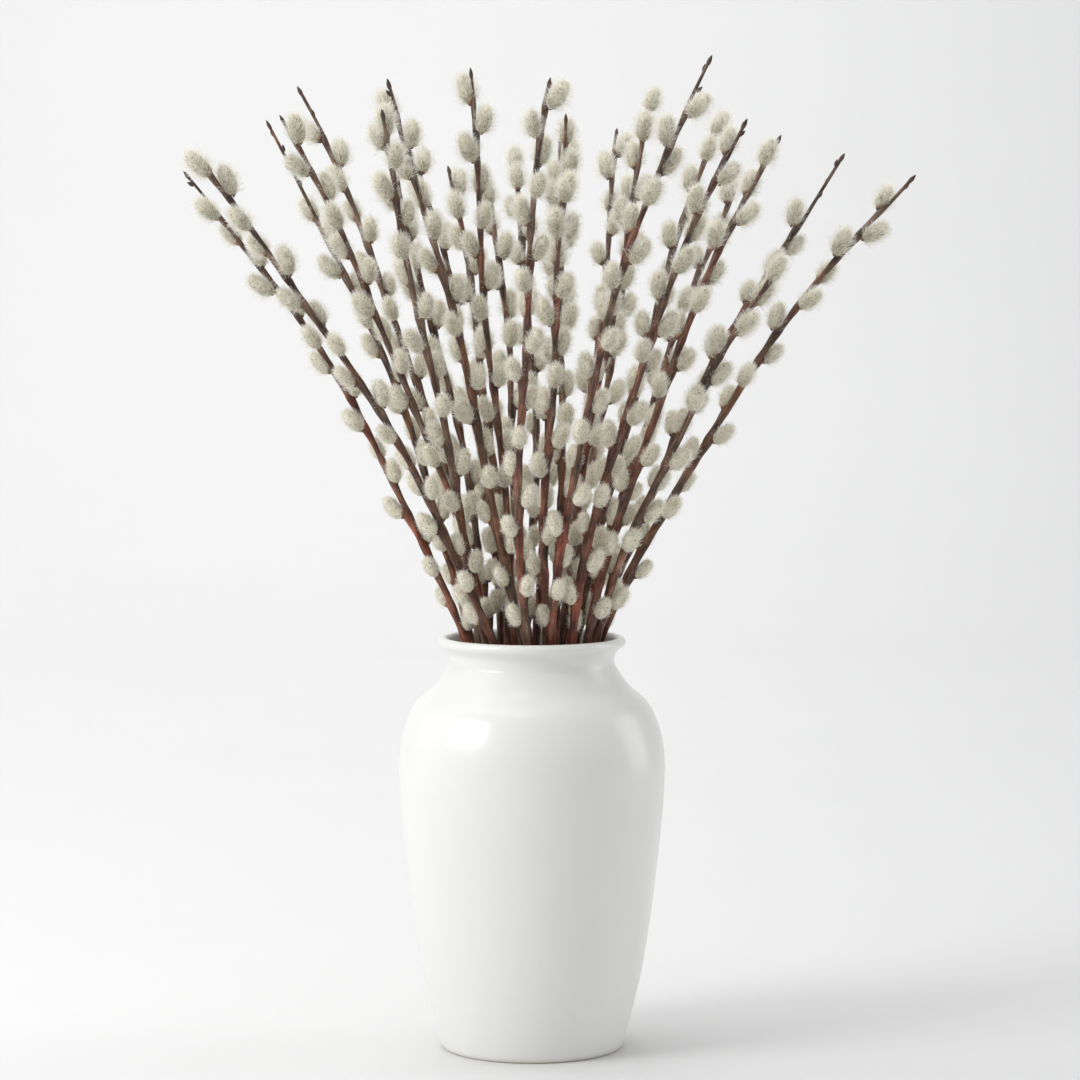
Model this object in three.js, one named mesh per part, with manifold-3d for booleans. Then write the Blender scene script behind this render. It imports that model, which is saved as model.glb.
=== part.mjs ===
// A bunch of pussy willow stems standing in a white glazed vase.
// Millimetres, +Z up, the vase's axis on Z and its base on z = 0, the front towards -Y.

import * as THREE from 'three';
import { mergeVertices } from 'three/addons/utils/BufferGeometryUtils.js';
import Module from 'manifold-3d';

const wasm = await Module();
wasm.setup();

// Vase: outline heights and radii, all measured on the outside
const FOOT_RADIUS = 61;
const FOOT_EDGE_RADIUS = 63.5;
const FOOT_EDGE_HEIGHT = 3;
const LOWER_BODY_RADIUS = 79;
const LOWER_BODY_HEIGHT = 70;
const BELLY_RADIUS = 91.7;
const BELLY_HEIGHT = 186;
const SHOULDER_RADIUS = 84.5;
const SHOULDER_HEIGHT = 231.5;
const COLLAR_RADIUS = 66;
const COLLAR_HEIGHT = 252.5;
const NECK_RADIUS = 57;
const NECK_HEIGHT = 266;
const RIM_HEIGHT = 285;
const LIP_ROLL = 3.5;
const LIP_REACH = 61;
const WALL = 5;
const FLOOR_HEIGHT = 9;
const VASE_SEGMENTS = 36;
const WALL_STEPS = 11;
const LIP_STEPS = 4;

// Stems: their feet on the vase floor repeat their pattern in the mouth, turned and spread
const FOOT_TURN = THREE.MathUtils.degToRad(92);
const FOOT_SPREAD = 1.1;
const SEAT_GAP = 0.3;
const FOOT_THICKNESS = 3.5;
const TIP_THICKNESS = 1.3;
const THINNEST_SHARE = 0.8;
const TAPER_POWER = 1.4;
const MOUTH_AT = 0.25;
const STEM_SIDES = 5;
const STEM_STEPS = 12;
const SWAY = 2.5;

// Catkins: firm body under the fur, set on alternate sides of the stem
const CATKIN_LENGTH = 19.5;
const CATKIN_RADIUS = 4.4;
const CATKIN_TILT = THREE.MathUtils.degToRad(20);
const CATKIN_SEAT = 1.6;
const END_TILT = THREE.MathUtils.degToRad(8);
const END_SEAT = 3;
const TIP_SPACING = 20.5;
const SPACING_GROWTH = 0.15;
const LARGEST_CATKIN = 1.03;
const SHRINKAGE = 0.013;
const CATKIN_TURN = THREE.MathUtils.degToRad(137.5);
const CATKIN_SIDES = 4;
const EASY_CLEARANCE = 2.5;
const LEAST_CLEARANCE = 0.6;
const LOWEST_CATKIN = RIM_HEIGHT + 3;
const TURNS_TRIED = 12;
const SMALLEST_DETAIL = 0.2;

// One row a stem: place in the mouth x y, tip x y z, bare length below the tip.
// A stem with no bare length ends in a catkin.
const STEMS = [
  [-46, -8, -236, -15, 603, 20],
  [-33, -22, -97, -125, 640, 1],
  [-26, -40, -212, -105, 601, 0],
  [-3, -46, 12, -175, 658, 1],
  [13, -44, 115, -160, 673, 22],
  [27, -36, 141, -100, 635, 8],
  [38, -26, 168, -25, 627, 5],
  [44, -17, 160, -80, 532, 0],
  [48, 5, 262, 5, 601, 14],
  [42, 21, 220, 85, 618, 46],
  [31, 36, 150, 185, 600, 3],
  [14, 45, 62, 200, 640, 5],
  [-4, 47, -13, 190, 613, 0],
  [-22, 41, -90, 185, 625, 4],
  [-37, 28, -168, 130, 667, 24],
  [-43, 16, -185, 55, 640, 58],
  [-29, -3, -171, -10, 641, 4],
  [-7, -28, -96, -60, 663, 8],
  [-12, -12, -41, -45, 671, 6],
  [10, -28, 21, -85, 584, 0],
  [16, -9, 23, -10, 642, 2],
  [20, 8, 82, 65, 650, 0],
  [31, -4, 127, 40, 632, 0],
  [23, 22, 75, 125, 600, 3],
  [3, 30, 20, 110, 630, 2],
  [-17, 24, -60, 110, 610, 4],
  [-29, 13, -106, 45, 639, 1],
  [-6, 8, -30, 35, 600, 2],
];

// A repeatable number from 0 to 1 for a stem and a place on it
function chance(stem, place) {
  const wave = Math.sin((stem + 1) * 127.1 + place * 311.7) * 43758.5453;
  return wave - Math.floor(wave);
}

// Centre line of one stem, a gentle arch from its foot through the mouth to its tip
function stemLine(row, index) {
  const [mouthX, mouthY, tipX, tipY, tipZ] = row;
  const mouth = new THREE.Vector3(mouthX, mouthY, RIM_HEIGHT);
  const tip = new THREE.Vector3(tipX, tipY, tipZ);
  const foot = new THREE.Vector3(mouthX, mouthY, 0).multiplyScalar(FOOT_SPREAD);
  foot.applyAxisAngle(new THREE.Vector3(0, 0, 1), FOOT_TURN);
  const thickness = THINNEST_SHARE + (1 - THINNEST_SHARE) * chance(index, 1);
  const lean = Math.atan(Math.hypot(mouth.x - foot.x, mouth.y - foot.y) / RIM_HEIGHT);
  foot.z = FLOOR_HEIGHT + SEAT_GAP + FOOT_THICKNESS * thickness * Math.sin(lean);
  const inside = mouth.clone().sub(foot);
  const outside = tip.clone().sub(mouth);
  const insideLength = inside.length();
  const outsideLength = outside.length();
  const heading = outside.clone().multiplyScalar(0.5);
  heading.addScaledVector(inside, 0.5 * outsideLength / insideLength);
  const bend = heading.clone().multiplyScalar(insideLength / outsideLength).sub(inside);
  const phase = 2 * Math.PI * chance(index, 2);

  function inVase(w) {
    return foot.clone().addScaledVector(inside, w).addScaledVector(bend, w * w * w - w * w);
  }

  function above(u) {
    const point = mouth.clone().addScaledVector(heading, u);
    point.addScaledVector(outside.clone().sub(heading), u * u);
    const sway = SWAY * 4 * u * (1 - u);
    point.x += sway * Math.sin(8 * u + phase);
    point.y += sway * Math.cos(7 * u + phase);
    return point;
  }

  function at(t) {
    return t < MOUTH_AT ? inVase(t / MOUTH_AT) : above((t - MOUTH_AT) / (1 - MOUTH_AT));
  }

  function frame(t) {
    const step = 0.004;
    const along = at(Math.min(t + step, 1)).sub(at(Math.max(t - step, 0))).normalize();
    const side = new THREE.Vector3(1, 0, 0);
    side.addScaledVector(along, -along.x).normalize();
    return { along, side, back: side.clone().cross(along) };
  }

  function radius(t) {
    const taper = 1 - Math.pow(t, TAPER_POWER);
    return thickness * (TIP_THICKNESS + (FOOT_THICKNESS - TIP_THICKNESS) * taper);
  }

  return { at, frame, radius, outsideLength };
}

// A cylinder bent along a stem's centre line and thinned towards the tip
function stemGeometry(line) {
  const geometry = new THREE.CylinderGeometry(1, 1, 1, STEM_SIDES, STEM_STEPS);
  const position = geometry.attributes.position;
  for (let i = 0; i < position.count; i += 1) {
    const t = position.getY(i) + 0.5;
    const { side, back } = line.frame(t);
    const point = line.at(t);
    point.addScaledVector(side, position.getX(i) * line.radius(t));
    point.addScaledVector(back, position.getZ(i) * line.radius(t));
    position.setXYZ(i, point.x, point.y, point.z);
  }
  return geometry;
}

// Where one catkin would sit: beside the stem or on its end, and the way it points
function catkinPlace(line, t, turn, ending, size) {
  const { along, side, back } = line.frame(t);
  const outward = side.multiplyScalar(Math.cos(turn)).addScaledVector(back, Math.sin(turn));
  const tilt = ending ? END_TILT : CATKIN_TILT;
  const seat = ending ? 0 : CATKIN_SEAT + 0.85 * line.radius(t);
  const base = line.at(t).addScaledVector(outward, seat);
  const axis = along.clone().multiplyScalar(Math.cos(tilt)).addScaledVector(outward, Math.sin(tilt));
  const inward = along.clone().multiplyScalar(Math.sin(tilt)).addScaledVector(outward, -Math.cos(tilt));
  const length = CATKIN_LENGTH * size;
  const middles = [0.3, 0.55, 0.85].map((part) => base.clone().addScaledVector(axis, part * length));
  return { base, axis, inward, size, middles };
}

// Free space between a catkin and every other stem and every catkin already placed
function clearance(place, owner, lines, placed) {
  let least = Infinity;
  for (const middle of place.middles) {
    const overRim = middle.z - CATKIN_RADIUS - RIM_HEIGHT;
    least = Math.min(least, overRim);
    lines.forEach((other, index) => {
      if (index === owner) {
        return;
      }
      for (const sample of other.samples) {
        const gap = middle.distanceTo(sample.point) - CATKIN_RADIUS - sample.radius;
        least = Math.min(least, gap);
      }
    });
    for (const earlier of placed) {
      for (const point of earlier.middles) {
        least = Math.min(least, middle.distanceTo(point) - 2 * CATKIN_RADIUS);
      }
    }
  }
  return least;
}

// Catkins of all stems, each turned about its stem until it stands clear
function placeCatkins(lines) {
  const placed = [];
  lines.forEach((line, stem) => {
    const bare = STEMS[stem][5];
    const below = (length) => 1 - (1 - MOUTH_AT) * length / line.outsideLength;
    let down = bare > 0 ? bare + 0.9 * CATKIN_LENGTH : END_SEAT;
    for (let k = 0; line.at(below(down)).z > LOWEST_CATKIN; k += 1) {
      const t = below(down);
      const size = (LARGEST_CATKIN - SHRINKAGE * k) * (0.92 + 0.16 * chance(stem, 10 + k));
      const natural = 2 * Math.PI * chance(stem, 3) + k * CATKIN_TURN;
      let best = null;
      let bestGap = LEAST_CLEARANCE;
      for (let attempt = 0; attempt < TURNS_TRIED && bestGap < EASY_CLEARANCE; attempt += 1) {
        const turn = natural + 2 * Math.PI * attempt / TURNS_TRIED;
        const place = catkinPlace(line, t, turn, down === END_SEAT, size);
        const gap = clearance(place, stem, lines, placed);
        if (gap > bestGap) {
          best = place;
          bestGap = gap;
        }
      }
      if (best) {
        placed.push({ ...best, stem });
      }
      down += (TIP_SPACING + SPACING_GROWTH * k) * (0.88 + 0.24 * chance(stem, 40 + k));
    }
  });
  return placed;
}

// A plump pointed body standing on its base point, one edge towards the stem
function catkinGeometry(place) {
  const length = CATKIN_LENGTH * place.size;
  const radius = CATKIN_RADIUS * place.size;
  const outline = [[0, 0], [0.85, 0.14], [1.05, 0.62], [0, 1]];
  const points = outline.map(([across, up]) => new THREE.Vector2(across * radius, up * length));
  const geometry = new THREE.LatheGeometry(points, CATKIN_SIDES);
  const across = place.axis.clone().cross(place.inward);
  const stand = new THREE.Matrix4().makeBasis(across, place.axis, place.inward);
  return geometry.applyMatrix4(stand.setPosition(place.base));
}

function toManifold(geometry) {
  geometry.deleteAttribute('normal');
  geometry.deleteAttribute('uv');
  const merged = mergeVertices(geometry, 1e-4);
  const vertProperties = new Float32Array(merged.attributes.position.array);
  const triVerts = new Uint32Array(merged.index.array);
  return new wasm.Manifold(new wasm.Mesh({ numProp: 3, vertProperties, triVerts }));
}

function fromManifold(solid) {
  const mesh = solid.getMesh();
  const geometry = new THREE.BufferGeometry();
  geometry.setAttribute('position', new THREE.BufferAttribute(mesh.vertProperties, 3));
  geometry.setIndex(new THREE.BufferAttribute(mesh.triVerts, 1));
  geometry.computeVertexNormals();
  return geometry;
}

// Outer wall, rolled lip, inner wall at an even thickness and a flat inner floor
function vaseGeometry() {
  const wall = new THREE.SplineCurve([
    new THREE.Vector2(FOOT_EDGE_RADIUS, FOOT_EDGE_HEIGHT),
    new THREE.Vector2(LOWER_BODY_RADIUS, LOWER_BODY_HEIGHT),
    new THREE.Vector2(BELLY_RADIUS, BELLY_HEIGHT),
    new THREE.Vector2(SHOULDER_RADIUS, SHOULDER_HEIGHT),
    new THREE.Vector2(COLLAR_RADIUS, COLLAR_HEIGHT),
    new THREE.Vector2(NECK_RADIUS, NECK_HEIGHT),
  ]);
  const outer = [];
  const inner = [];
  for (let i = 0; i <= WALL_STEPS; i += 1) {
    const point = wall.getPointAt(i / WALL_STEPS);
    const along = wall.getTangentAt(i / WALL_STEPS);
    outer.push(point);
    inner.push(new THREE.Vector2(point.x - along.y * WALL, point.y + along.x * WALL));
  }
  const lip = [];
  for (let i = 0; i <= LIP_STEPS; i += 1) {
    const angle = THREE.MathUtils.lerp(-0.25, 1, i / LIP_STEPS) * Math.PI;
    const x = LIP_REACH + LIP_ROLL * Math.cos(angle);
    lip.push(new THREE.Vector2(x, RIM_HEIGHT - LIP_ROLL + LIP_ROLL * Math.sin(angle)));
  }
  const hollow = inner.filter((point) => point.y > FLOOR_HEIGHT + WALL);
  const floorRadius = hollow[0].x - WALL;
  const profile = [
    new THREE.Vector2(0, 0),
    new THREE.Vector2(FOOT_RADIUS, 0),
    ...outer,
    ...lip,
    ...hollow.reverse(),
    new THREE.Vector2(floorRadius, FLOOR_HEIGHT),
    new THREE.Vector2(0, FLOOR_HEIGHT),
  ];
  return new THREE.LatheGeometry(profile, VASE_SEGMENTS).rotateX(Math.PI / 2);
}

const willow = new THREE.Group();
willow.name = 'willow_stems_in_vase';

const vase = new THREE.Mesh(
  vaseGeometry(),
  new THREE.MeshStandardMaterial({ color: 0xf2f2ee, roughness: 0.15, metalness: 0 }),
);
vase.name = 'vase';
willow.add(vase);

const lines = STEMS.map(stemLine);
for (const line of lines) {
  line.samples = [];
  for (let t = 0; t <= 1; t += 0.008) {
    line.samples.push({ point: line.at(t), radius: line.radius(t) });
  }
}
const catkins = placeCatkins(lines);

lines.forEach((line, index) => {
  let solid = toManifold(stemGeometry(line));
  for (const place of catkins.filter((catkin) => catkin.stem === index)) {
    solid = solid.add(toManifold(catkinGeometry(place)));
  }
  const stem = new THREE.Mesh(
    fromManifold(solid.simplify(SMALLEST_DETAIL)),
    new THREE.MeshStandardMaterial({ color: 0x6b4632, roughness: 0.6, metalness: 0 }),
  );
  stem.name = `willow_stem_${String(index + 1).padStart(2, '0')}`;
  willow.add(stem);
});

export default willow;
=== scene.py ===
"""Pussy willow stems in a white glazed vase: the finished look, in metres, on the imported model's frame."""

import math

import bmesh
import bpy
import numpy as np
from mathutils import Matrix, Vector


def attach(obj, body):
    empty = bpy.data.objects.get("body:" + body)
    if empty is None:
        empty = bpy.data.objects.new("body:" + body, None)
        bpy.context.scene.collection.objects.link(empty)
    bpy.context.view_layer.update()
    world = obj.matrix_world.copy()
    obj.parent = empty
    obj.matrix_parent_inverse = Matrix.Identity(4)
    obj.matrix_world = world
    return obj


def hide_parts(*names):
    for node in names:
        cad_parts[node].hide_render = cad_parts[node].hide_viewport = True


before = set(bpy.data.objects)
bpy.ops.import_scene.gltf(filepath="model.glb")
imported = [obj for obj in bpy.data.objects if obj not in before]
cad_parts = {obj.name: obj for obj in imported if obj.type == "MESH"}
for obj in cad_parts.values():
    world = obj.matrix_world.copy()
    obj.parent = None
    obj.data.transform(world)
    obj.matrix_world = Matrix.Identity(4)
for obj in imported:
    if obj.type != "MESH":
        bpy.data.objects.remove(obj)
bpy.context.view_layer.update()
MM = 0.001
FULL_TURN = 2 * math.pi
WELD_DISTANCE = 1e-7
SLIVER_DISTANCE = 1e-8

# Vase outline in millimetres: radius and height, from the foot to the neck and round the lip
WALL_OUTLINE = [(63.5, 3), (79, 70), (91.7, 186), (84.5, 231.5), (66, 252.5), (57, 266)]
FOOT_OUTLINE = [(0, 0), (60, 0), (61.4, 0.2), (62.6, 1.2)]
NECK_OUTLINE = [(56.7, 269.5), (57.6, 273.5), (60.2, 276.7)]
RIM_HEIGHT = 285
LIP_ROLL = 3.5
LIP_REACH = 61
LIP_HALF_TURNS = (-0.28, 1)
WALL = 5
FLOOR_HEIGHT = 9
FLOOR_CORNER_IN = 2
FLOOR_CORNER_UP = 4
WALL_STEPS = 10
NECK_STEPS = 3
LIP_POINTS = 14
FLOOR_STEPS = 4
VASE_SEGMENTS = 144

# Stems in millimetres, as the solid model has them
FOOT_TURN = math.radians(92)
FOOT_SPREAD = 1.1
SEAT_GAP = 0.3
FOOT_THICKNESS = 3.5
TIP_THICKNESS = 1.3
THINNEST_SHARE = 0.8
TAPER_POWER = 1.4
MOUTH_AT = 0.25
SWAY = 2.5
SWAY_WAVES_X = 8
SWAY_WAVES_Y = 7
HEADING_STEP = 0.004

# Catkins in millimetres, as the solid model has them; a span is what chance adds to a least value
CATKIN_LENGTH = 19.5
CATKIN_RADIUS = 4.4
CATKIN_TILT = math.radians(20)
CATKIN_SEAT = 1.6
SEAT_SHARE = 0.85
END_TILT = math.radians(8)
END_SEAT = 3
TIP_ROOM = 0.9
TIP_SPACING = 20.5
SPACING_GROWTH = 0.15
LEAST_SPACING = 0.88
SPACING_SPAN = 0.24
LARGEST_CATKIN = 1.03
SHRINKAGE = 0.013
LEAST_SIZE = 0.92
SIZE_SPAN = 0.16
CATKIN_TURN = math.radians(137.5)
EASY_CLEARANCE = 2.5
LEAST_CLEARANCE = 0.6
LOWEST_CATKIN = RIM_HEIGHT + 3
TURNS_TRIED = 12
PROBES_ALONG_CATKIN = (0.3, 0.55, 0.85)
PROBES_ALONG_STEM = 126
PROBE_STEP = 0.008

# Repeatable numbers: what scatters them, and the place of each; the last five count on from catkin to catkin
STEM_STRIDE = 127.1
PLACE_STRIDE = 311.7
SCATTER = 43758.5453
THICKNESS_PLACE = 1
SWAY_PLACE = 2
TURN_PLACE = 3
BUD_TURN_PLACE = 4
BARK_PLACE = 5
SIZE_PLACE = 10
SPACING_PLACE = 40
SCALE_TURN_PLACE = 70
OUTER_SCALE_PLACE = 90
INNER_SCALE_PLACE = 110

# One row a stem: place in the mouth x y, tip x y z, bare length below the tip.
# A stem with no bare length ends in a catkin.
STEMS = [
    (-46, -8, -236, -15, 603, 20),
    (-33, -22, -97, -125, 640, 1),
    (-26, -40, -212, -105, 601, 0),
    (-3, -46, 12, -175, 658, 1),
    (13, -44, 115, -160, 673, 22),
    (27, -36, 141, -100, 635, 8),
    (38, -26, 168, -25, 627, 5),
    (44, -17, 160, -80, 532, 0),
    (48, 5, 262, 5, 601, 14),
    (42, 21, 220, 85, 618, 46),
    (31, 36, 150, 185, 600, 3),
    (14, 45, 62, 200, 640, 5),
    (-4, 47, -13, 190, 613, 0),
    (-22, 41, -90, 185, 625, 4),
    (-37, 28, -168, 130, 667, 24),
    (-43, 16, -185, 55, 640, 58),
    (-29, -3, -171, -10, 641, 4),
    (-7, -28, -96, -60, 663, 8),
    (-12, -12, -41, -45, 671, 6),
    (10, -28, 21, -85, 584, 0),
    (16, -9, 23, -10, 642, 2),
    (20, 8, 82, 65, 650, 0),
    (31, -4, 127, 40, 632, 0),
    (23, 22, 75, 125, 600, 3),
    (3, 30, 20, 110, 630, 2),
    (-17, 24, -60, 110, 610, 4),
    (-29, 13, -106, 45, 639, 1),
    (-6, 8, -30, 35, 600, 2),
]

# Bark in millimetres; the ripple and the girth at a node are shares of the stem's radius
BARK_SIDES = 10
BARK_RINGS_IN_VASE = 12
BARK_RINGS_ABOVE = 130
BARK_SHARE = 0.88
RIPPLE = 0.05
RIPPLE_RATE = 90
NODE_RISE = 11
NODE_FALL = 1.8
NODE_SIZE = 2.5
NODE_GIRTH = 0.06
NODE_FACING = 1.5
NODE_BEND = 0.4
NODE_BEND_GROWTH = 0.7
GRAIN_LENGTH = 10
GRAIN_SHIFT_ROUND = 3.7
GRAIN_SHIFT_ALONG = 11.3
CAP_GRAIN = 0.3

# Buds in millimetres; an outline is a row of places along the bud and a row of its widths there
BUD_SIDES = 7
BUD_RINGS = 7
BUD_OUTLINE = ((0, 0.15, 0.45, 0.8, 1), (0.7, 0.9, 1, 0.5, 0))
BUD_GRAIN = (0.01, 0.99)
TIP_BUD = 6.5
TIP_BUD_OVERHANG = 1
TIP_BUD_GIRTH = 1.3
TIP_BUD_SHIFT = 0.1
SIDE_BUD = 5.2
SIDE_BUD_WIDTH = 1.35
SIDE_BUD_LEAN = 0.42
SIDE_BUD_SEAT = 0.75
SIDE_BUD_START = 11.0
SIDE_BUD_SPACING = 13
SIDE_BUD_REACH = 4

# Bud scales in millimetres, two for each catkin: the outer one and the one towards the stem.
# One row a scale: turn from the outer side, least reach, its span, place of its number, shift of its grain.
SCALE_ROWS = [(0, 5.0, 1.8, OUTER_SCALE_PLACE, 0.3), (2.6, 3.8, 1.4, INNER_SCALE_PLACE, 0.6)]
SCALE_TURN_SPAN = 0.8
SCALE_RINGS = 5
SCALE_COLUMNS = 6
SCALE_HALF_TURN = 1.1
SCALE_POINT = 2.4
SCALE_FOOT = 0.03
SCALE_OUTLINE = ((0, 0.4, 1), (0.28, 0.5, 0.72))
SCALE_SKINS = (0.6, 0.2)
SCALE_FLARE = 1.2

# Pairs for the smooth catkins low on a stem and the fluffy ones near its tip
FLUFF_AT = (0.4, 0.95)
CORE_SHARE = (1.18, 1.1)
HAIRS = (1150, 1500)
LONG_SHARE = (0.25, 0.66)

# Body of a catkin under its hairs
CORE_SIDES = 12
CORE_RINGS = 8
CORE_BIAS = 0.94
CORE_SHOULDER = 2.3
CORE_BLUNTNESS = 0.47
CURL = 1.5

# Hairs in millimetres; a pair is a least and a most
SHORT_HAIR = (2.0, 3.6)
LONG_HAIR = (3.2, 5.4)
FLUFF_GAIN = 0.22
FOOT_HAIR_GAIN = 1.08
TIP_HAIR_LOSS = 0.5
SHORT_SWEEP = (0.65, 1.45)
LONG_SWEEP = (0.4, 1.1)
SMOOTH_SWEEP = 0.45
SWEEP_JITTER = 0.12
POLE_LEAN = 0.5
SHORT_HALF_WIDTH = 0.13
LONG_HALF_WIDTH = 0.095
ROOT_DEPTH = 0.3
ROOTS_FROM = 0.02
ROOT_CROWDING = 0.95
BLUNT_SHARE = 0.5
HAIR_SEED = 11

# Map of the catkins: hairs in the left share and bodies in the rest, with one cell a catkin in each
FUR_UV_SHARE = 0.6
CORE_CELL = (0.05, 0.95)
HAIR_CELL = (0.08, 0.92)
HAIR_MAP_HALF_WIDTH = 0.003
ROOT_TONE = 0.02
LONG_TIP_TONE = 0.98
SHORT_TIP_TONE = 0.8

# Dark, middle and light tone of the bark: weathered, and four fresh ones, of which chance gives each stem one
BARK_STOPS = (0.3, 0.5, 0.72)
GREY_BARK = [(0.032, 0.021, 0.015), (0.109, 0.071, 0.05), (0.304, 0.217, 0.16)]
FRESH_BARK = [
    [(0.041, 0.012, 0.007), (0.189, 0.048, 0.027), (0.331, 0.132, 0.073)],
    [(0.041, 0.014, 0.006), (0.161, 0.054, 0.022), (0.331, 0.16, 0.073)],
    [(0.029, 0.011, 0.007), (0.097, 0.034, 0.02), (0.258, 0.12, 0.07)],
    [(0.046, 0.021, 0.013), (0.166, 0.08, 0.049), (0.368, 0.224, 0.15)],
]
BARK_SHADE = [(0.36, (0.42, 0.4, 0.39)), (0.66, (1.5, 1.46, 1.42))]
BARK_SPOT = (0.34, 0.22, 0.14)

# Tones of the other materials, with their places on a ramp
GLAZE_TONES = [(0.0, (0.79, 0.79, 0.765)), (1.0, (0.845, 0.845, 0.825))]
BARE_CLAY = (0.72, 0.69, 0.62)
SCALE_TONES = [(0.0, (0.14, 0.07, 0.042)), (0.4, (0.40, 0.25, 0.155)), (0.95, (0.68, 0.54, 0.40))]
BUD_TONES = [(0.0, (0.12, 0.06, 0.04)), (0.5, (0.07, 0.04, 0.03)), (0.95, (0.045, 0.03, 0.024))]
VEIN_SHADE = [(0.3, 0.55), (0.7, (1.15, 1.1, 1.05))]
# Pale core of the low catkins: partly their own pale tone, partly painted light that brightens them where the
# bunch shades them
PALE_CORE_WITH_PAINTED_LIGHT = [(0.35, (0.69, 0.65, 0.52)), (0.65, (0.89, 0.855, 0.73))]
GREEN_CORE = [(0.35, (0.33, 0.305, 0.225)), (0.65, (0.52, 0.49, 0.385))]
CORE_CREASE = [(0.16, (0.45, 0.425, 0.39)), (0.42, 1)]
FUR_TONES = [
    (0.0, (0.74, 0.71, 0.59)),
    (0.22, (0.93, 0.91, 0.81)),
    (0.55, (0.98, 0.97, 0.92)),
    (1.0, (0.995, 0.99, 0.97)),
]
STRAND_RATE = 260.0
STRAND_SHADE = [(0.3, (0.94, 0.93, 0.91)), (0.7, 1)]
PAPER_TONES = [(0.0, 0.79), (1.0, 0.81)]
# Painted shade on the paper: its tone on the left, in the middle and on the darker right
PAPER_PAINTED_SHADE = [(0.0, 0.96), (0.5, 0.922), (1.0, (0.835, 0.837, 0.841))]

# Camera: place and target in metres, lens and sensor in millimetres
EYE = (0.0055, -2.55, 0.54)
AIM = (0.0055, 0, 0.3515)
LENS = 124
SENSOR = 36

# Painted shade on the paper in metres: it fans out from a point in front, its breadth a share of the distance
PAINTED_SHADE_CENTRE = -2.55
PAINTED_SHADE_FROM = -0.5
PAINTED_SHADE_TO = 3.9
PAINTED_SHADE_BREADTH = 0.161

# Path of the paper in millimetres
PAPER_FRONT = -4000
PAPER_BACK = 3900
PAPER_TOP = 5000
PAPER_SIDES = (-6000, 6000)
PAPER_CURVE = 1200
PAPER_CURVE_STEPS = 16

# Light from all round, and the lamps: name, place, target and size in metres, power in watts
SKY_DIM_SIDE = (0.48, -0.87, 0)
SKY_BRIGHTEST = 0.86
SKY_DIMMEST = 0.45
LAMPS = [
    ("key", (-2.4, -1.3, 1.8), (0, 0, 0.35), (1.3, 1.3), 44),
    ("top", (-0.3, 0.3, 2.6), (0, 0, 0.3), (2.0, 2.0), 27),
    ("right", (2.2, 0.5, 0.8), (0, 0, 0.3), (1.0, 1.6), 9),
    ("backdrop", (0, 2.3, 2.6), (0, 3.9, 1.0), (4.0, 0.8), 39),
]

# Order of the materials on a twig, and on its catkins
BARK_SLOT = 0
SCALE_SLOT = 1
BUD_SLOT = 2
CORE_SLOT = 0
FUR_SLOT = 1

# Sockets of the node that mixes two colours
MIX_SHARE = 0
MIX_FIRST = 6
MIX_SECOND = 7
MIX_RESULT = 2

hair_draws = np.random.default_rng(HAIR_SEED)


def chance(stem, place):
    """A repeatable number from 0 to 1 for a stem and a place on it."""
    wave = math.sin((stem + 1) * STEM_STRIDE + place * PLACE_STRIDE) * SCATTER
    return wave - math.floor(wave)


def unit(vectors):
    """The same directions, each one long."""
    return vectors / np.linalg.norm(vectors, axis=-1, keepdims=True)


def between(share, ends):
    """What lies a share of the way from the first end to the second."""
    return np.interp(share, (0, 1), ends)


def circle(count):
    """Angles that share out a full turn."""
    return np.arange(count) * FULL_TURN / count


def around(axis, hint):
    """Two directions square to an axis, the first as near as can be to hint."""
    first = unit(hint - axis * np.dot(hint, axis))
    return first, np.cross(axis, first)


def spline(points, steps):
    """A smooth curve through points, the same number of steps between each two."""
    points = np.asarray(points, float)
    ends = np.vstack([points[:1], points, points[-1:]])
    t = (np.arange(steps) / steps)[:, None]
    curve = []
    for i in range(len(points) - 1):
        p0, p1, p2, p3 = ends[i:i + 4]
        v0, v1 = (p2 - p0) / 2, (p3 - p1) / 2
        cubic = 2 * p1 - 2 * p2 + v0 + v1
        square = -3 * p1 + 3 * p2 - 2 * v0 - v1
        curve.append(cubic * t ** 3 + square * t ** 2 + v0 * t + p1)
    return np.vstack([*curve, points[-1:]])


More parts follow.
